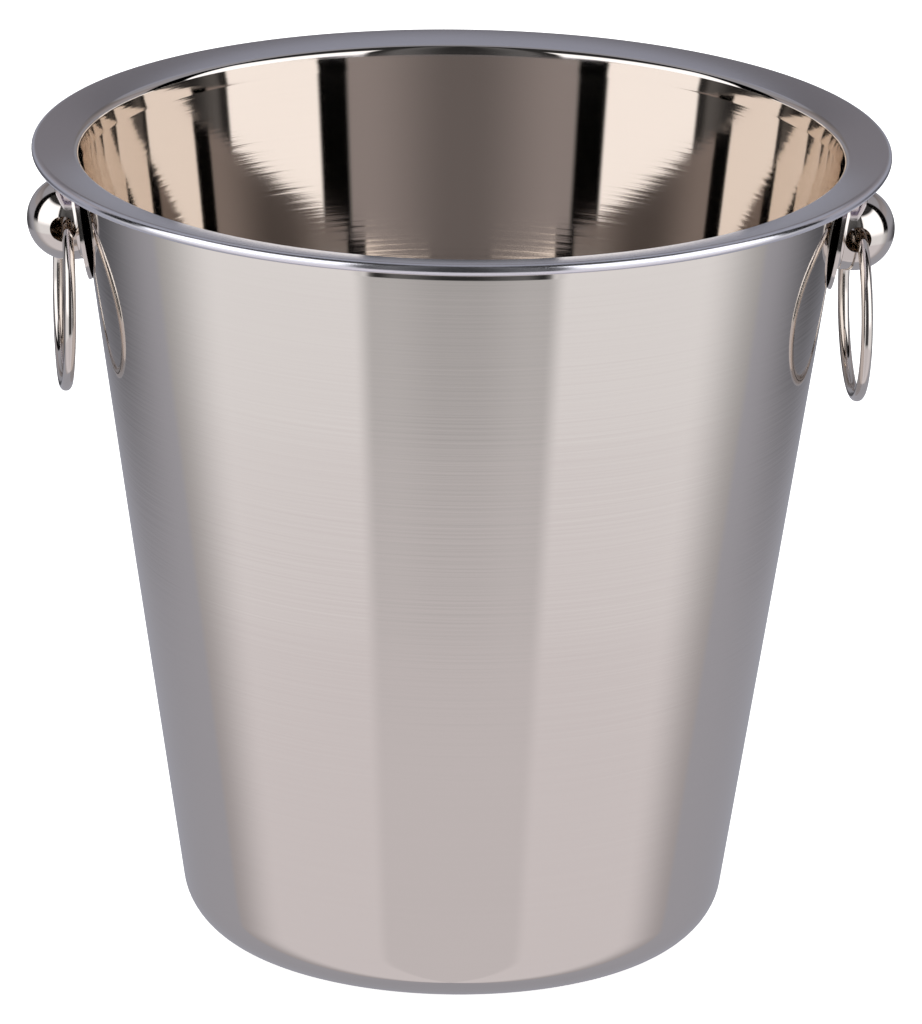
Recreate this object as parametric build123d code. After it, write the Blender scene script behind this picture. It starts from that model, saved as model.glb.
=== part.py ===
"""Champagne bucket in sheet steel, with two domed knobs that carry loose ring handles.

Millimetres, +Z up. The origin is the middle of the flat base, on the surface the bucket stands on.
The knobs lie on the X axis, one each side. Each knob is a drawn dome with a thin flange, closed behind
by a flat plate. The plate is welded to the bucket's wall along the line where they touch, so nothing
stands out on the inside.
"""
from build123d import *
from math import atan2, cos, degrees, radians, sin, sqrt, tan
import os

SIDES = {"left": -1, "right": 1}
BASE = (Align.CENTER, Align.CENTER, Align.MIN)

# Bucket
overall_height = 210.8
base_radius = 67.8           # where the line of the wall would meet the floor
wall_taper = 8.5             # degrees from the vertical
sheet = 0.8
base_corner_radius = 15.7    # outside of the bend between base and wall
collar_height = 7.3          # steeper band of wall, measured down from the top of the rim
collar_taper = 6.0           # degrees from the vertical
collar_bend_radius = 10.0
rim_overhang = 11.79         # from the outside of the collar's foot to the outer edge of the rim
throat_radius = 1.9          # rounded edge between the inside wall and the flange
flange_slope = 9.0           # degrees that the flange rises towards its outer edge
edge_radius = 1.4            # outside of the rolled edge
edge_straight = 0.1          # upright run between the two quarters of the rolled edge
lip_width = 3.6              # how far in from the outer edge the rolled lip returns

# Knobs
knob_clearance = 4.2         # from the top of the rim down to the top of a knob's flange
knob_skirt = 4.1             # from the wall to the middle of the round end
knob_dome_radius = 10.9
knob_flange_fillet = 1.4
knob_flange_land = 4.1       # flat ring outside the fillet
knob_sheet = 0.5
knob_edge_break = 0.15       # small bevel round the front of the flange
back_plate = 0.5
back_plate_inset = 0.2       # how much smaller in radius the plate is than the flange in front of it

# Rings
ring_wire = 3.0
ring_outer_diameter = 48.5
ring_hang = 0.85             # how far the wire's middle lies under the eye's axis, where it leaves the dome
ring_shift = 1.112           # how far the wire lies to one side of an eye's axis, turned in its play
eye_clearance = 1.9          # radial, between the wire and the eyes that it is threaded through
plate_clearance = 1.55       # between a knob's back plate and the wire swinging over it

eye_cutter = 40.0            # length of the cutter that pierces both eyes, past the dome on each side

taper = radians(wall_taper)
slope = radians(flange_slope)


def wall_radius(height):
    """Outside radius of the tapered wall at a height."""
    return base_radius + height * tan(taper)


collar_base = overall_height - collar_height
collar_radius = wall_radius(collar_base)
rim_radius = collar_radius + rim_overhang
knob_flange_radius = knob_dome_radius + knob_flange_fillet + knob_flange_land
knob_height = overall_height - knob_clearance - knob_flange_radius
eye_radius = ring_wire / 2 + eye_clearance
ring_radius = (ring_outer_diameter - ring_wire) / 2


def shifted(points, distance):
    """The corners of a line parallel to an open polyline, to the left of its direction of travel."""
    runs = [(Vector(*b) - Vector(*a)).normalized() for a, b in zip(points, points[1:])]
    sides = [Vector(-run.Y, run.X) for run in runs]
    corners = [Vector(*points[0]) + sides[0] * distance]
    for point, side, following in zip(points[1:], sides, sides[1:]):
        middle = (side + following).normalized()
        corners.append(Vector(*point) + middle * (distance / middle.dot(side)))
    corners.append(Vector(*points[-1]) + sides[-1] * distance)
    return [(corner.X, corner.Y) for corner in corners]


def turns_left(before, corner, after):
    """Whether a route bends to the left at a corner."""
    first = Vector(*corner) - Vector(*before)
    second = Vector(*after) - Vector(*corner)
    return first.cross(second).Z > 0


def bent_sheet_section(route, bend_radii, thickness):
    """The face of a bent sheet that lies to the left of a route with rounded corners."""
    other = shifted(route, thickness)
    other_radii = []
    for before, corner, after, radius in zip(route, route[1:], route[2:], bend_radii):
        change = -thickness if turns_left(before, corner, after) else thickness
        other_radii.append(radius + change)
    near = FilletPolyline(*route, radius=bend_radii)
    far = FilletPolyline(*other, radius=other_radii)
    ends = [Line(route[0], other[0]), Line(route[-1], other[-1])]
    return make_face([*near.edges(), *far.edges(), *ends])


def spun(section):
    """Turn a section, drawn as radius and height, into a solid about the Z axis."""
    return revolve(Plane.XZ * section, Axis.Z)


def make_bucket_shell():
    """One sheet, drawn to a tapered pail, flanged and rolled under at the rim."""
    # The top skin's outer corner, placed so that the rounded edge just reaches the overall height.
    edge_corner = overall_height + edge_radius * (tan(slope) + 1 / cos(slope) - 1)
    edge_turn = radians(90 + flange_slope)
    edge_drop = edge_radius * (tan(edge_turn / 2) + tan((radians(180) - edge_turn) / 2)) + edge_straight
    edge_inside = rim_radius - sheet
    # Where the leaning outside of the collar meets the underside of the flange.
    lean = tan(radians(collar_taper))
    under_axis = edge_corner - rim_radius * tan(slope) - sheet / cos(slope)
    throat_height = (under_axis + (collar_radius - collar_base * lean) * tan(slope)) / (1 - lean * tan(slope))
    throat_corner = collar_radius + (throat_height - collar_base) * lean
    lip_end = rim_radius - lip_width

    def flange_underside(radius):
        return under_axis + radius * tan(slope)

    def lip_topside(radius):
        return edge_corner - edge_drop - (rim_radius - radius) * tan(slope) + sheet / cos(slope)

    route = [
        (0, 0),
        (base_radius, 0),
        (collar_radius, collar_base),
        (throat_corner, throat_height),
        (edge_inside, flange_underside(edge_inside)),
        (edge_inside, lip_topside(edge_inside)),
        (lip_end, lip_topside(lip_end)),
    ]
    inside_edge = edge_radius - sheet
    bends = [base_corner_radius, collar_bend_radius, throat_radius - sheet, inside_edge, inside_edge]
    return spun(bent_sheet_section(route, bends, sheet))


def knob_plane(side):
    """Where a knob sits: origin on the wall, Z out along the knob's axis, X along the bucket's Y."""
    across = SIDES[side]
    foot = (across * wall_radius(knob_height), 0, knob_height)
    outward = (across * cos(taper), 0, -sin(taper))
    return Plane(origin=foot, x_dir=(0, 1, 0), z_dir=outward)


def ring_top(half_span):
    """How far the top of a ring's centreline stands beyond the axis of its eyes."""
    return ring_radius - sqrt(ring_radius ** 2 - half_span ** 2) - ring_hang


def eye_depth():
    """From the wall to the axis of the eyes, so that the swinging wire clears the back plate."""
    wire_reach = ring_top(knob_dome_radius - knob_sheet / 2) + ring_wire / 2
    return back_plate + plate_clearance + wire_reach


def eye_centre(side):
    """The middle of a knob's two eyes, on the axis that its ring swings about."""
    return knob_plane(side).from_local_coords(Vector(0, 0, eye_depth()))


def dome_body(inset, base):
    """Solid dome, skirt and flared foot standing on a level; an inset gives the dome's inside."""
    radius = knob_dome_radius - inset
    flare_radius = knob_flange_fillet + inset
    foot = radius + flare_radius
    dome = CenterArc((0, knob_skirt), radius, 0, 90)
    skirt = Line((radius, knob_skirt), (radius, base + flare_radius))
    flare = CenterArc((foot, base + flare_radius), flare_radius, 180, 90)
    closing = Polyline((foot, base), (0, base), (0, knob_skirt + radius))
    return spun(make_face([dome.edge(), skirt.edge(), flare.edge(), *closing.edges()]))


def make_knob_shell():
    """A drawn dome with a flange. The ring's two eyes are pierced through its skirt."""
    flange = Pos(0, 0, back_plate) * Cylinder(knob_flange_radius, knob_sheet, align=BASE)
    front_edge = flange.edges().filter_by(GeomType.CIRCLE).sort_by(Axis.Z)[-1]
    flange = chamfer(front_edge, knob_edge_break)
    knob = flange + dome_body(0, back_plate + knob_sheet) - dome_body(knob_sheet, back_plate)
    bore = Rot(0, 90, 0) * Cylinder(eye_radius, eye_cutter)
    return knob - Pos(0, 0, eye_depth()) * bore


def make_back_plate():
    """Flat disc that closes the back of the dome and rests on the wall."""
    return Cylinder(knob_flange_radius - back_plate_inset, back_plate, align=BASE)


def eye_half_span():
    """Half the distance between the middles of the dome's two pierced walls."""
    middle_radius = knob_dome_radius - knob_sheet / 2
    return sqrt(middle_radius ** 2 - (eye_depth() - knob_skirt) ** 2)


def make_ring(side):
    """Round wire ring, threaded through both eyes and hanging from them, turned a little in their play."""
    drop = ring_radius - ring_top(eye_half_span())
    turn = degrees(atan2(ring_shift, eye_half_span()))
    eye = eye_centre(side)
    place = Pos(eye.X, eye.Y, eye.Z - drop) * Rot(0, 0, turn) * Rot(0, 90, 0)
    return place * Torus(ring_radius, ring_wire / 2)


def build():
    """Every piece, by the name of its file."""
    pieces = {"bucket_shell": make_bucket_shell()}
    for side in SIDES:
        on_wall = knob_plane(side).location
        pieces[f"{side}_knob_shell"] = on_wall * make_knob_shell()
        pieces[f"{side}_knob_back_plate"] = on_wall * make_back_plate()
        pieces[f"{side}_ring_handle"] = make_ring(side)
    return pieces


os.makedirs("parts", exist_ok=True)
for name, piece in build().items():
    export_step(piece, f"parts/{name}.step")
for side in SIDES:
    print(side, "ring swings about Y through", eye_centre(side))
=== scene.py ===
"""Champagne bucket in spun steel, with two domed knobs and loose ring handles.

The looks of every piece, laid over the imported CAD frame. Metres, +Z up.
"""
from math import cos, pi, radians, sin, tan

import bmesh
import bpy
from mathutils import Matrix, Vector


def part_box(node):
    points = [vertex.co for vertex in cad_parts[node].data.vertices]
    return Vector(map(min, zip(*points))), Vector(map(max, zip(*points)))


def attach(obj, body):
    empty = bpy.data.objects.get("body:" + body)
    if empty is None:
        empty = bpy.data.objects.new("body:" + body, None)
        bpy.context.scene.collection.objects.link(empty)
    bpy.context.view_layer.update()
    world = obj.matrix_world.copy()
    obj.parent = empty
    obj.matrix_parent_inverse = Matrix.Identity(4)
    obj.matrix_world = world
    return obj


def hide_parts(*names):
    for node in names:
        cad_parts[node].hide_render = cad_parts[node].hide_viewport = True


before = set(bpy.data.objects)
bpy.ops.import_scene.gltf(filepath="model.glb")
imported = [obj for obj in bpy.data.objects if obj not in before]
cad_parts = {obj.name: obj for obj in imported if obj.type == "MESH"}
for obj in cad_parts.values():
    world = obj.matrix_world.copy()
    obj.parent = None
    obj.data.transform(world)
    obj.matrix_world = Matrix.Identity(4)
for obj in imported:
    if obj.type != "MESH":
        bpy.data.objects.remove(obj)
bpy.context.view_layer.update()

bl_info = {
    "name": "Champagne bucket",
    "version": (1, 0, 0),
    "blender": (4, 5, 0),
    "location": "View3D > Sidebar > Bucket",
    "description": "Spun steel champagne bucket with knobs and ring handles",
    "category": "Object",
}

SHELL_LOW, SHELL_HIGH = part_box("bucket_shell")
SIDES = {"left": -1, "right": 1}
MM = 0.001

SHELL_CUTS = (14, 14, 8)      # divisions of the shell's longest runs: lower wall, base, upper wall
KNOB_CUTS = (6,)              # divisions of the knob's longest run
KNOB_FACETS = 128             # steps round a knob
WIRE_FACETS = 32              # steps round the ring's wire
RING_FACETS = 160             # steps round the ring
FLANGE_GAP = 0.4 * MM         # from the wall's top to where the flange's finish starts
FLANGE_BLEND = 0.8 * MM       # over which one finish turns into the other
ROLL_STRAIGHT = 0.1 * MM      # upright run between the two quarters of the rolled edge
MERGE = 0.001 * MM            # points closer than this are one point
FLOOR_SIZE = 12.0


# ---------------------------------------------------------------- sizes and finishes a user may change

class BucketSizes(bpy.types.PropertyGroup):
    """Sizes of the spun shell"""

    height: bpy.props.FloatProperty(
        name="Height", description="From the table to the top of the rim",
        default=SHELL_HIGH.z, unit="LENGTH", precision=5)
    rim_radius: bpy.props.FloatProperty(
        name="Rim radius", description="Outside of the rolled edge",
        default=SHELL_HIGH.y, unit="LENGTH", precision=5)
    base_radius: bpy.props.FloatProperty(
        name="Base radius", description="Where the line of the wall would meet the table",
        default=67.8 * MM, unit="LENGTH", precision=5)
    taper: bpy.props.FloatProperty(
        name="Wall taper", description="Lean of the wall away from the vertical",
        default=radians(8.5), subtype="ANGLE")
    sheet: bpy.props.FloatProperty(
        name="Sheet", description="Thickness of the steel",
        default=0.8 * MM, unit="LENGTH", precision=5)
    base_bend: bpy.props.FloatProperty(
        name="Base bend", description="Outside radius between base and wall",
        default=15.7 * MM, unit="LENGTH", precision=5)
    bow: bpy.props.FloatProperty(
        name="Bow", description="How far the wall swells out between base and collar",
        default=0.3 * MM, unit="LENGTH", precision=5)
    bow_height: bpy.props.FloatProperty(
        name="Bow height", description="Where the wall swells most",
        default=130.0 * MM, unit="LENGTH", precision=5)
    bow_bend: bpy.props.FloatProperty(
        name="Bow bend", description="Outside radius where the wall swells most",
        default=9000.0 * MM, unit="LENGTH", precision=5)
    collar: bpy.props.FloatProperty(
        name="Collar", description="Steeper band below the rim",
        default=7.3 * MM, unit="LENGTH", precision=5)
    collar_lean: bpy.props.FloatProperty(
        name="Collar lean", description="Lean of the collar away from the vertical",
        default=radians(6.0), subtype="ANGLE")
    collar_bend: bpy.props.FloatProperty(
        name="Collar bend", description="Outside radius between wall and collar",
        default=10.0 * MM, unit="LENGTH", precision=5)
    throat: bpy.props.FloatProperty(
        name="Throat", description="Outside radius between collar and flange",
        default=1.1 * MM, unit="LENGTH", precision=5)
    flange_slope: bpy.props.FloatProperty(
        name="Flange slope", description="Rise of the flange towards its edge",
        default=radians(9.0), subtype="ANGLE")
    edge: bpy.props.FloatProperty(
        name="Rolled edge", description="Outside radius of the rolled edge",
        default=1.4 * MM, unit="LENGTH", precision=5)
    lip_end: bpy.props.FloatProperty(
        name="Lip end", description="How far in the rolled lip returns",
        default=106.4 * MM, unit="LENGTH", precision=5)
    turns: bpy.props.IntProperty(
        name="Facets", description="Steps round the bucket", default=288, min=48)


class KnobSizes(bpy.types.PropertyGroup):
    """Sizes of the knobs that carry the rings"""

    height: bpy.props.FloatProperty(
        name="Height", description="Where a knob's axis meets the wall",
        default=190.2 * MM, unit="LENGTH", precision=5)
    reach: bpy.props.FloatProperty(
        name="Reach", description="From the wall to the end of the dome",
        default=15.0 * MM, unit="LENGTH", precision=5)
    dome: bpy.props.FloatProperty(
        name="Dome radius", description="Outside radius of the round end",
        default=10.9 * MM, unit="LENGTH", precision=5)
    flange: bpy.props.FloatProperty(
        name="Flange radius", description="Radius of the thin foot",
        default=16.4 * MM, unit="LENGTH", precision=5)
    fillet: bpy.props.FloatProperty(
        name="Foot fillet", description="Round between skirt and foot",
        default=1.4 * MM, unit="LENGTH", precision=5)
    sheet: bpy.props.FloatProperty(
        name="Sheet", description="Thickness of the knob's steel",
        default=0.5 * MM, unit="LENGTH", precision=5)
    plate: bpy.props.FloatProperty(
        name="Back plate", description="Thickness of the plate behind the foot",
        default=0.5 * MM, unit="LENGTH", precision=5)
    eye_depth: bpy.props.FloatProperty(
        name="Eye depth", description="From the wall to the axis of the eyes",
        default=5.35 * MM, unit="LENGTH", precision=5)
    eye_radius: bpy.props.FloatProperty(
        name="Eye radius", description="Radius of the pierced eyes",
        default=3.4 * MM, unit="LENGTH", precision=5)


class RingSizes(bpy.types.PropertyGroup):
    """Sizes of the ring handles"""

    wire: bpy.props.FloatProperty(
        name="Wire", description="Diameter of the round wire",
        default=3.0 * MM, unit="LENGTH", precision=5)
    across: bpy.props.FloatProperty(
        name="Outside diameter", description="Across the whole ring",
        default=48.5 * MM, unit="LENGTH", precision=5)
    turn: bpy.props.FloatProperty(
        name="Turn", description="Turn of a hanging ring about the vertical",
        default=radians(6.0), subtype="ANGLE")


class SteelFinish(bpy.types.PropertyGroup):
    """Colour and polish of the steel"""

    colour: bpy.props.FloatVectorProperty(
        name="Steel", description="Colour of the bare steel",
        default=(0.81, 0.755, 0.70), subtype="COLOR", min=0, max=1)
    flange_colour: bpy.props.FloatVectorProperty(
        name="Flange", description="Colour of the flange, whiter than the wall",
        default=(0.92, 0.91, 0.96), subtype="COLOR", min=0, max=1)
    wall_roughness: bpy.props.FloatProperty(
        name="Wall roughness", description="Softness of reflections in the wall",
        default=0.04, subtype="FACTOR", min=0, max=1)
    brushing: bpy.props.FloatProperty(
        name="Brushing", description="How far the lines round the wall stretch a reflection",
        default=0.6, subtype="FACTOR", min=0, max=1)
    polish_roughness: bpy.props.FloatProperty(
        name="Polish roughness", description="Softness of reflections in knobs and rings",
        default=0.07, subtype="FACTOR", min=0, max=1)


class StudioSetup(bpy.types.PropertyGroup):
    """Camera and light"""

    aim: bpy.props.FloatVectorProperty(
        name="Aim", description="Point that the camera looks at",
        default=(1.05 * MM, 0.0, 111.73 * MM), subtype="TRANSLATION", precision=5)
    distance: bpy.props.FloatProperty(
        name="Distance", description="Camera to aim", default=2.9815, unit="LENGTH")
    elevation: bpy.props.FloatProperty(
        name="Elevation", description="Height of the camera above the horizon",
        default=0.31174, subtype="ANGLE")
    roll: bpy.props.FloatProperty(
        name="Roll", description="Turn of the camera about its own axis",
        default=0.0136, subtype="ANGLE")
    lens: bpy.props.FloatProperty(
        name="Lens", description="Focal length in millimetres", default=405.98)
    light: bpy.props.FloatProperty(
        name="Light", description="Brightness of the light on the floor", default=1.1, min=0)


GROUPS = {
    "bucket_sizes": BucketSizes,
    "knob_sizes": KnobSizes,
    "ring_sizes": RingSizes,
    "steel_finish": SteelFinish,
    "studio_setup": StudioSetup,
}


# ---------------------------------------------------------------- shader maths

class Val:
    """A shader socket that can stand in an expression."""

    def __init__(self, graph, socket):
        self.graph = graph
        self.socket = socket

    def maths(self, operation, *others):
        """This value and others through one Math node."""
        node = self.graph.add("ShaderNodeMath", {"operation": operation},
                              dict(enumerate((self, *others))))
        return Val(self.graph, node.outputs[0])

    def reflected(self, operation, other):
        """Another value first, then this one."""
        node = self.graph.add("ShaderNodeMath", {"operation": operation}, {0: other, 1: self})
        return Val(self.graph, node.outputs[0])

    def __add__(self, other):
        return self.maths("ADD", other)

    __radd__ = __add__

    def __sub__(self, other):
        return self.maths("SUBTRACT", other)

    def __rsub__(self, other):
        return self.reflected("SUBTRACT", other)

    def __mul__(self, other):
        return self.maths("MULTIPLY", other)

    __rmul__ = __mul__

    def __neg__(self):
        return self.maths("MULTIPLY", -1)


class Graph:
    """The node tree of one finish."""

    def __init__(self, tree):
        self.tree = tree
        tree.nodes.clear()

    def add(self, kind, settings=None, inputs=None):
        """One node: its settings first, then the values or links of its sockets."""
        node = self.tree.nodes.new(kind)
        for name, value in (settings or {}).items():
            setattr(node, name, value)
        for name, value in (inputs or {}).items():
            socket = node.inputs[name]
            if isinstance(value, Val):
                self.tree.links.new(value.socket, socket)
            else:
                socket.default_value = value
        return node

    def out(self, node, name=0):
        """One output of a node as a value."""
        return Val(self, node.outputs[name])

    def place(self):
        """Object coordinates and their three parts."""
        where = self.out(self.add("ShaderNodeTexCoord"), "Object")
        parts = self.add("ShaderNodeSeparateXYZ", None, {0: where})
        return where, *(self.out(parts, i) for i in range(3))

    def stretched(self, where, scale):
        """A place stretched along each axis."""
        return self.out(self.add("ShaderNodeMapping", {"vector_type": "POINT"},
                                 {"Vector": where, "Scale": scale}))

    def noise(self, where, scale, detail=2.0, roughness=0.5):
        """Noise between 0 and 1."""
        node = self.add("ShaderNodeTexNoise", {"noise_dimensions": "3D"},
                        {"Vector": where, "Scale": scale, "Detail": detail, "Roughness": roughness})
        return self.out(node, "Fac")

    def step(self, value, start, end):
        """0 before start and 1 after end, with a soft change between."""
        node = self.add("ShaderNodeMapRange", {"interpolation_type": "SMOOTHSTEP", "clamp": True},
                        {"Value": value, "From Min": start, "From Max": end})
        return self.out(node, "Result")

    def mix(self, factor, first, second):
        """One colour turning into another."""
        node = self.add("ShaderNodeMix", {"data_type": "RGBA"},
                        {"Factor": factor, 6: first, 7: second})
        return Val(self, node.outputs[2])

    def bump(self, height, strength, distance):
        """Surface relief from a height."""
        return self.out(self.add("ShaderNodeBump", None,
                                 {"Height": height, "Strength": strength, "Distance": distance}))

    def finish(self, inputs):
        """A Principled surface on the output."""
        shader = self.add("ShaderNodeBsdfPrincipled", None, inputs)
        self.add("ShaderNodeOutputMaterial", None, {"Surface": self.out(shader)})


def new_material(name):
    """An empty material and its graph."""
    material = bpy.data.materials.new(name)
    material.use_nodes = True
    return material, Graph(material.node_tree)


def shade(colour, factor=1.0):
    """A colour made lighter or darker, with alpha."""
    return (*(min(part * factor, 1.0) for part in colour), 1.0)


# ---------------------------------------------------------------- finishes

def spun_steel(look, flange_start):
    """Bright steel with the fine lines that spinning and buffing leave round the wall."""
    material, graph = new_material("spun_steel")
    where, x, y, _ = graph.place()
    reach = (x * x + y * y).maths("SQRT")
    flange = graph.step(reach, flange_start, flange_start + FLANGE_BLEND)
    lines = graph.noise(graph.stretched(where, (9.0, 9.0, 1100.0)), 1.0, 2.0, 0.5)
    broad = graph.noise(graph.stretched(where, (14.0, 14.0, 90.0)), 1.0, 2.0)
    cloud = graph.noise(where, 24.0, 3.0)
    wall = graph.mix(cloud * 0.5 + lines * 0.5, shade(look.colour, 0.985), shade(look.colour, 1.015))
    colour = graph.mix(flange, wall, shade(look.flange_colour))
    rough = look.wall_roughness * (0.8 + 0.25 * lines + 0.15 * cloud) + 0.14 * flange
    relief = graph.bump(lines * 0.6 + broad * 0.4, 0.9, 0.011 * MM)
    graph.finish({"Base Color": colour, "Metallic": 1.0, "Roughness": rough,
                  "Anisotropic": look.brushing, "Anisotropic Rotation": 0.25, "Normal": relief})
    return material


def polished_steel(name, look, roughness, grain):
    """Polished steel with the faintest ripple left by the die."""
    material, graph = new_material(name)
    where, _, _, _ = graph.place()
    ripple = graph.noise(where, grain, 3.0)
    fine = graph.noise(where, grain * 12, 2.0)
    colour = graph.mix(ripple, shade(look.colour, 0.98), shade(look.colour, 1.02))
    graph.finish({"Base Color": colour, "Metallic": 1.0,
                  "Roughness": roughness * (0.75 + 0.3 * ripple + 0.2 * fine),
                  "Normal": graph.bump(ripple * 0.8 + fine * 0.2, 0.4, 0.01 * MM)})
    return material


# ---------------------------------------------------------------- mesh helpers

def keep_evaluated(piece):
    """Fix the modifiers into the mesh."""
    graph = bpy.context.evaluated_depsgraph_get()
    made = bpy.data.meshes.new_from_object(piece.evaluated_get(graph))
    made.name = piece.name
    piece.modifiers.clear()
    piece.data = made


def new_piece(name, shape):
    """An object from a bmesh, at the origin."""
    mesh = bpy.data.meshes.new(name)
    shape.to_mesh(mesh)
    shape.free()
    piece = bpy.data.objects.new(name, mesh)
    bpy.context.scene.collection.objects.link(piece)
    return piece


def smooth(piece, crease=35.0):
    """Smooth shading, with edges sharper than the crease kept crisp."""
    for face in piece.data.polygons:
        face.use_smooth = True
    piece.data.set_sharp_from_angle(angle=radians(crease))


def thicken(piece, thickness):
    """Give a skin its thickness, inwards from its outer face."""
    wall = piece.modifiers.new("sheet", "SOLIDIFY")
    wall.thickness = thickness
    wall.offset = -1.0
    wall.use_even_offset = True
    keep_evaluated(piece)


def profile_line(corners, cuts, rounds):
    """A wire through (radius, height) corners, with its inner corners rounded.

    cuts says how many times each of the longest runs is divided, longest first. rounds gives the radius
    and the facets at each inner corner.
    """
    shape = bmesh.new()
    verts = [shape.verts.new((radius, 0.0, height)) for radius, height in corners]
    for pair in zip(verts, verts[1:]):
        shape.edges.new(pair)
    for corner, before, after, (radius, facets) in zip(verts[1:-1], corners, corners[2:], rounds):
        here = Vector((corner.co.x, corner.co.z))
        into = (here - Vector(before)).normalized()
        away = (Vector(after) - here).normalized()
        turn = into.angle(away)
        bmesh.ops.bevel(shape, geom=[corner], offset=radius * tan(turn / 2), offset_type="OFFSET",
                        affect="VERTICES", segments=facets, profile=0.5, material=-1)
    longest = sorted(shape.edges, key=lambda edge: -edge.calc_length())[:len(cuts)]
    for edge, count in zip(longest, cuts):
        bmesh.ops.subdivide_edges(shape, edges=[edge], cuts=count)
    return shape


def spin_round(shape, facets):
    """Turn a wire about Z into a closed skin with outward faces."""
    bmesh.ops.spin(shape, geom=[*shape.verts, *shape.edges], cent=(0, 0, 0), axis=(0, 0, 1),
                   angle=2 * pi, steps=facets, use_merge=True)
    bmesh.ops.remove_doubles(shape, verts=shape.verts, dist=MERGE)
    bmesh.ops.recalc_face_normals(shape, faces=shape.faces)
    lowest = min(vert.co.z for vert in shape.verts)
    highest = max(vert.co.z for vert in shape.verts)
    middle = Vector((0, 0, (lowest + highest) / 2))
    outward = sum((face.calc_center_median() - middle).dot(face.normal) * face.calc_area()
                  for face in shape.faces)
    if outward < 0:
        bmesh.ops.reverse_faces(shape, faces=shape.faces)


def only_material(piece, material):
    """One material on the whole piece."""
    piece.data.materials.clear()
    piece.data.materials.append(material)


# ---------------------------------------------------------------- bucket shell

def wall_radius(sizes, height):
    """Outside radius of the tapered wall at a height."""
    return sizes.base_radius + height * tan(sizes.taper)


def shell_profile(sizes):
    """Corners of the underside of the sheet, from the middle of the base to the end of the lip."""
    slope = tan(sizes.flange_slope)
    lean = tan(sizes.collar_lean)
    collar_base = sizes.height - sizes.collar
    collar_radius = wall_radius(sizes, collar_base)
    across = cos(sizes.flange_slope)
    top_corner = sizes.height + sizes.edge * (slope + 1 / across - 1)
    turn = pi / 2 + sizes.flange_slope
    drop = sizes.edge * (tan(turn / 2) + tan((pi - turn) / 2)) + ROLL_STRAIGHT
    inside = sizes.rim_radius - sizes.sheet
    under_axis = top_corner - sizes.rim_radius * slope - sizes.sheet / across
    throat_height = (under_axis + (collar_radius - collar_base * lean) * slope) / (1 - lean * slope)
    throat_radius = collar_radius + (throat_height - collar_base) * lean

    def over(radius):
        return top_corner - drop - (sizes.rim_radius - radius) * slope + sizes.sheet / across

    return [
        (0.0, 0.0),
        (sizes.base_radius, 0.0),
        (wall_radius(sizes, sizes.bow_height) + sizes.bow, sizes.bow_height),
        (collar_radius, collar_base),
        (throat_radius, throat_height),
        (inside, under_axis + inside * slope),
        (inside, over(inside)),
        (sizes.lip_end, over(sizes.lip_end)),
    ]


class BUCKET_OT_shell(bpy.types.Operator):
    """Spin the bucket's shell from one sheet"""

    bl_idname = "bucket.shell"
    bl_label = "Bucket shell"

    def execute(self, context):
        sizes = context.scene.bucket_sizes
        roll = sizes.edge - sizes.sheet
        rounds = [
            (sizes.base_bend, 16),
            (sizes.bow_bend, 12),
            (sizes.collar_bend, 4),
            (sizes.throat, 8),
            (roll, 8),
            (roll, 7),
        ]
        shape = profile_line(shell_profile(sizes), SHELL_CUTS, rounds)
        spin_round(shape, sizes.turns)
        shell = new_piece("spun_shell", shape)
        thicken(shell, sizes.sheet)
        smooth(shell)
        collar = wall_radius(sizes, sizes.height - sizes.collar)
        only_material(shell, spun_steel(context.scene.steel_finish, collar + FLANGE_GAP))
        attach(shell, "bucket")
        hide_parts("bucket_shell")
        return {"FINISHED"}


# ---------------------------------------------------------------- knobs

def knob_place(sizes, knob, side):
    """From a knob's own axes to its place on the wall."""
    across = SIDES[side]
    taper = sizes.taper
    outward = Vector((across * cos(taper), 0, -sin(taper)))
    along = Vector((0, 1, 0))
    up = outward.cross(along)
    turn = Matrix((along, up, outward)).transposed().to_4x4()
    foot = Vector((across * wall_radius(sizes, knob.height), 0, knob.height))
    return Matrix.Translation(foot) @ turn


def pierce(piece, radius, reach, middle):
    """Bore both eyes through a dome, along its own X."""
    drill = bmesh.new()
    bmesh.ops.create_cone(drill, cap_ends=True, segments=64, radius1=radius, radius2=radius,
                          depth=reach, matrix=Matrix.Translation(middle) @ Matrix.Rotation(pi / 2, 4, "Y"))
    cutter = new_piece("eye_drill", drill)
    bore = piece.modifiers.new("eyes", "BOOLEAN")
    bore.operation = "DIFFERENCE"
    bore.solver = "EXACT"
    bore.object = cutter
    keep_evaluated(piece)
    bpy.data.objects.remove(cutter)


class BUCKET_OT_knobs(bpy.types.Operator):
    """Press the two domed knobs and pierce their eyes"""

    bl_idname = "bucket.knobs"
    bl_label = "Knobs"

    def execute(self, context):
        sizes = context.scene.bucket_sizes
        knob = context.scene.knob_sizes
        look = context.scene.steel_finish
        steel = polished_steel("knob_steel", look, look.polish_roughness, 160.0)
        face = knob.plate + knob.sheet
        corners = [(knob.flange, face), (knob.dome, face), (knob.dome, knob.reach), (0.0, knob.reach)]
        for side in SIDES:
            shape = profile_line(corners, KNOB_CUTS, [(knob.fillet, 8), (knob.dome, 40)])
            spin_round(shape, KNOB_FACETS)
            piece = new_piece(f"{side}_knob", shape)
            thicken(piece, knob.sheet)
            pierce(piece, knob.eye_radius, 4 * knob.dome, Vector((0, 0, knob.eye_depth)))
            piece.data.transform(knob_place(sizes, knob, side))
            smooth(piece)
            only_material(piece, steel)
            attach(piece, "bucket")
            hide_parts(f"{side}_knob_shell")
        return {"FINISHED"}


# ---------------------------------------------------------------- rings

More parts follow.
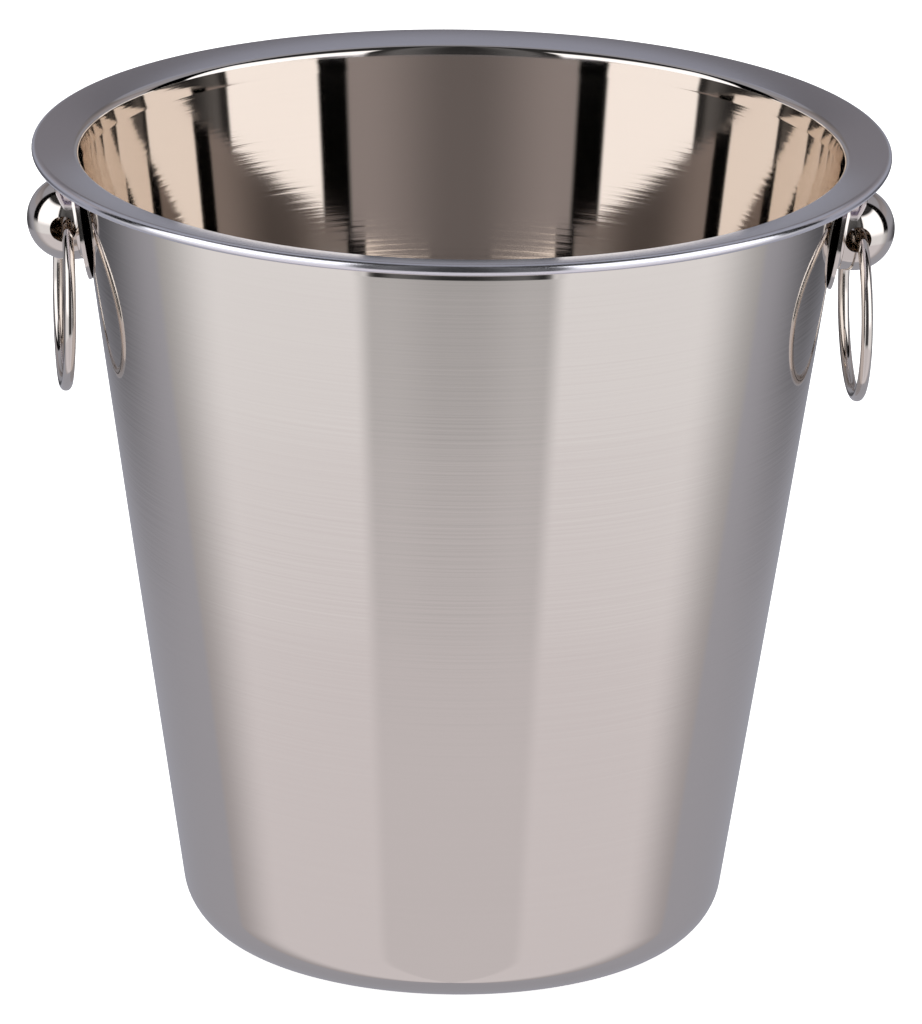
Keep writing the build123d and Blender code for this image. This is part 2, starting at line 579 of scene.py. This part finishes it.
class BUCKET_OT_rings(bpy.types.Operator):
    """Bend the two ring handles from round wire"""

    bl_idname = "bucket.rings"
    bl_label = "Ring handles"

    def execute(self, context):
        ring = context.scene.ring_sizes
        look = context.scene.steel_finish
        steel = polished_steel("ring_steel", look, look.polish_roughness, 220.0)
        bend = (ring.across - ring.wire) / 2
        for side in SIDES:
            low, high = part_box(f"{side}_ring_handle")
            middle = (low + high) / 2
            shape = bmesh.new()
            bmesh.ops.create_circle(shape, segments=WIRE_FACETS, radius=ring.wire / 2,
                                    matrix=Matrix.Translation((0, bend, 0)))
            bmesh.ops.spin(shape, geom=[*shape.verts, *shape.edges], cent=(0, 0, 0), axis=(1, 0, 0),
                           angle=2 * pi, steps=RING_FACETS, use_merge=True)
            bmesh.ops.recalc_face_normals(shape, faces=shape.faces)
            piece = new_piece(f"{side}_ring", shape)
            piece.data.transform(Matrix.Translation(middle) @ Matrix.Rotation(ring.turn, 4, "Z"))
            smooth(piece)
            only_material(piece, steel)
            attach(piece, f"{side}_ring")
            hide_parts(f"{side}_ring_handle")
        return {"FINISHED"}


# ---------------------------------------------------------------- back plates

class BUCKET_OT_plates(bpy.types.Operator):
    """Finish the flat plates that close the knobs and rest on the wall"""

    bl_idname = "bucket.plates"
    bl_label = "Back plates"

    def execute(self, context):
        look = context.scene.steel_finish
        plate = polished_steel("plate_steel", look, look.polish_roughness * 2, 140.0)
        for side in SIDES:
            only_material(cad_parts[f"{side}_knob_back_plate"], plate)
        return {"FINISHED"}


# ---------------------------------------------------------------- stage

# Soft edges of the studio in degrees, as start and end. Those across are counted from the viewer's side
# round to the back, alike on both sides, and those up and down from the horizon.
BOXES_START = (28, 31)        # across: the dark front ends and the bright side boxes start
FLAGS_START = (90, 93)        # across: the boxes end and the dark flags start
ROOM_START = (108, 112)       # across: the flags end and the dim room starts
ROOM_DEPTH = (118, 175)       # across: the room darkens towards the back
GLOW_START = (3, 20)          # across: faint glow on both sides of the dark front
GLOW_END = (20, 26)
FRONT_EDGE = (26, 32)         # across: the part of the front with a lower horizon
BOXES_TOP = (40, 48)          # up: tops of the side boxes
ROOM_FOOT = (8, 13)           # up: lower edge of the brown part of the room
ROOM_SHADE = (19, 25)         # up: the brown part darkens
CEILING = (28, 32)            # up: its upper edge
HORIZON_SIDES = (-14, -4)     # down: where the lower studio meets the upper one
HORIZON_FRONT = (-32, -30)
LOW_CENTRE = (4, 24)          # across, below the horizon: the centre lightens outwards
LOW_BOXES_START = (28, 35)    # across, below the horizon: light side bands
LOW_BOXES_END = (82, 113)
LOW_REAR = (105, 150)         # across, below the horizon: last fall towards the back
WALL_SPAN = (-36.5, -32.5)    # down: what the foot and the top of the wall's front reflect
WALL_LIFT = 0.000557          # how fast that rises across, per degree squared

# Brightness and tint of its parts.
BOX_LEVEL = 1.35
FRONT_LEVEL = 0.03
ROOM_LEVEL = 0.35
LOW_CENTRE_LEVEL = 0.62
LOW_BOX_LEVEL = 0.69
LOW_TINT = (1.0, 0.955, 1.01, 1.0)
HIGH_TINT = (1.0, 1.0, 1.04, 1.0)
ROOM_TINT = (1.0, 0.93, 0.98, 1.0)
REAR_TINT = (0.96, 0.97, 1.1, 1.0)
GLOSSY_BOUNCES = 12           # enough for light that runs round the inside of the wall


def studio_light():
    """White to the eye and the floor. Steel sees two large side boxes, dark flags and a dim room."""
    world = bpy.data.worlds.new("studio")
    bpy.context.scene.world = world
    world.use_nodes = True
    graph = Graph(world.node_tree)
    direction = graph.out(graph.add("ShaderNodeTexCoord"), "Generated")
    parts = graph.add("ShaderNodeSeparateXYZ", None, {0: direction})
    x, y, z = (graph.out(parts, i) for i in range(3))
    round_angle = x.maths("ABSOLUTE").maths("ARCTAN2", -y) * (180 / pi)
    rise = z.maths("ARCSINE") * (180 / pi)
    flags = graph.step(round_angle, *FLAGS_START)
    rear = graph.step(round_angle, *ROOM_START)
    below_ceiling = 1 - graph.step(rise, *CEILING)
    boxes = graph.step(round_angle, *BOXES_START) * (1 - flags) * (1 - graph.step(rise, *BOXES_TOP))
    room = graph.step(rise, *ROOM_FOOT) * below_ceiling
    back = ROOM_LEVEL - (0.07 + 0.1 * room) * graph.step(round_angle, *ROOM_DEPTH)
    back = back - 0.06 * graph.step(rise, *ROOM_SHADE) * below_ceiling
    glow = graph.step(round_angle, *GLOW_START) * (1 - graph.step(round_angle, *GLOW_END))
    above = (FRONT_LEVEL + 0.09 * glow) * (1 - flags) + BOX_LEVEL * boxes + back * rear
    upper = graph.step(rise - WALL_LIFT * round_angle * round_angle, *WALL_SPAN)
    low_boxes = graph.step(round_angle, *LOW_BOXES_START)
    centre = LOW_CENTRE_LEVEL - 0.2 * upper + 0.085 * upper * graph.step(round_angle, *LOW_CENTRE)
    below = centre * (1 - low_boxes) + (LOW_BOX_LEVEL + 0.15 * upper) * low_boxes
    below = below - (0.31 + 0.13 * upper) * graph.step(round_angle, *LOW_BOXES_END)
    below = below - (0.02 + 0.3 * upper * upper) * graph.step(round_angle, *LOW_REAR)
    middle = 1 - graph.step(round_angle, *FRONT_EDGE)
    over = (graph.step(rise, *HORIZON_SIDES) * (1 - middle)
            + graph.step(rise, *HORIZON_FRONT) * middle)
    value = below * (1 - over) + above * over
    lilac = rear * (1 - room * over)
    tint = graph.mix(upper, LOW_TINT, HIGH_TINT)
    tint = graph.mix(rear * room * over, tint, ROOM_TINT)
    tint = graph.mix(lilac, tint, REAR_TINT)
    glossy = graph.out(graph.add("ShaderNodeLightPath"), "Is Glossy Ray")
    seen = graph.add("ShaderNodeBackground", None, {"Color": tint, "Strength": value})
    plain = graph.add("ShaderNodeBackground", None,
                      {"Color": (1, 1, 1, 1), "Strength": bpy.context.scene.studio_setup.light})
    both = graph.add("ShaderNodeMixShader", None, {0: glossy, 1: graph.out(plain), 2: graph.out(seen)})
    graph.add("ShaderNodeOutputWorld", None, {"Surface": graph.out(both)})


class BUCKET_OT_stage(bpy.types.Operator):
    """Set the pale floor, the light and the camera"""

    bl_idname = "bucket.stage"
    bl_label = "Stage"

    def execute(self, context):
        setup = context.scene.studio_setup
        shape = bmesh.new()
        bmesh.ops.create_grid(shape, x_segments=8, y_segments=8, size=FLOOR_SIZE)
        floor = new_piece("floor", shape)
        paper, graph = new_material("floor_paper")
        where, _, _, _ = graph.place()
        tooth = graph.noise(where, 300.0, 3.0)
        graph.finish({"Base Color": (0.8, 0.8, 0.8, 1), "Roughness": 0.8 + 0.1 * tooth,
                      "Emission Color": (1, 1, 1, 1), "Emission Strength": 0.8,
                      "Normal": graph.bump(tooth, 0.1, 0.05 * MM)})
        only_material(floor, paper)
        floor.visible_glossy = False
        studio_light()
        camera = bpy.data.objects.new("camera", bpy.data.cameras.new("camera"))
        context.scene.collection.objects.link(camera)
        camera.data.lens = setup.lens
        camera.data.sensor_width = 36.0
        back = Vector((0, -cos(setup.elevation), sin(setup.elevation)))
        turn = (-back).to_track_quat("-Z", "Y").to_matrix().to_4x4()
        camera.matrix_world = (Matrix.Translation(Vector(setup.aim) + back * setup.distance) @ turn
                               @ Matrix.Rotation(setup.roll, 4, "Z"))
        context.scene.camera = camera
        context.scene.view_settings.view_transform = "Standard"
        context.scene.cycles.glossy_bounces = GLOSSY_BOUNCES
        return {"FINISHED"}


class BUCKET_PT_panel(bpy.types.Panel):
    """Sizes, finishes and the steps that make the bucket"""

    bl_idname = "BUCKET_PT_panel"
    bl_label = "Champagne bucket"
    bl_space_type = "VIEW_3D"
    bl_region_type = "UI"
    bl_category = "Bucket"

    def draw(self, context):
        for name, group in GROUPS.items():
            box = self.layout.box()
            box.label(text=name.replace("_", " ").capitalize())
            for prop in group.__annotations__:
                box.prop(getattr(context.scene, name), prop)
        for step in STEPS:
            self.layout.operator(step.bl_idname)


STEPS = (BUCKET_OT_shell, BUCKET_OT_knobs, BUCKET_OT_rings, BUCKET_OT_plates, BUCKET_OT_stage)


def register():
    """Add the groups, the steps and the panel."""
    for cls in (*GROUPS.values(), *STEPS, BUCKET_PT_panel):
        bpy.utils.register_class(cls)
    for name, group in GROUPS.items():
        setattr(bpy.types.Scene, name, bpy.props.PointerProperty(type=group))


def unregister():
    """Take them away again."""
    for name in GROUPS:
        delattr(bpy.types.Scene, name)
    for cls in reversed((*GROUPS.values(), *STEPS, BUCKET_PT_panel)):
        bpy.utils.unregister_class(cls)


def main():
    """Make every piece in order."""
    register()
    bpy.ops.bucket.stage()
    bpy.ops.bucket.shell()
    bpy.ops.bucket.knobs()
    bpy.ops.bucket.rings()
    bpy.ops.bucket.plates()


if __name__ == "__main__":
    main()
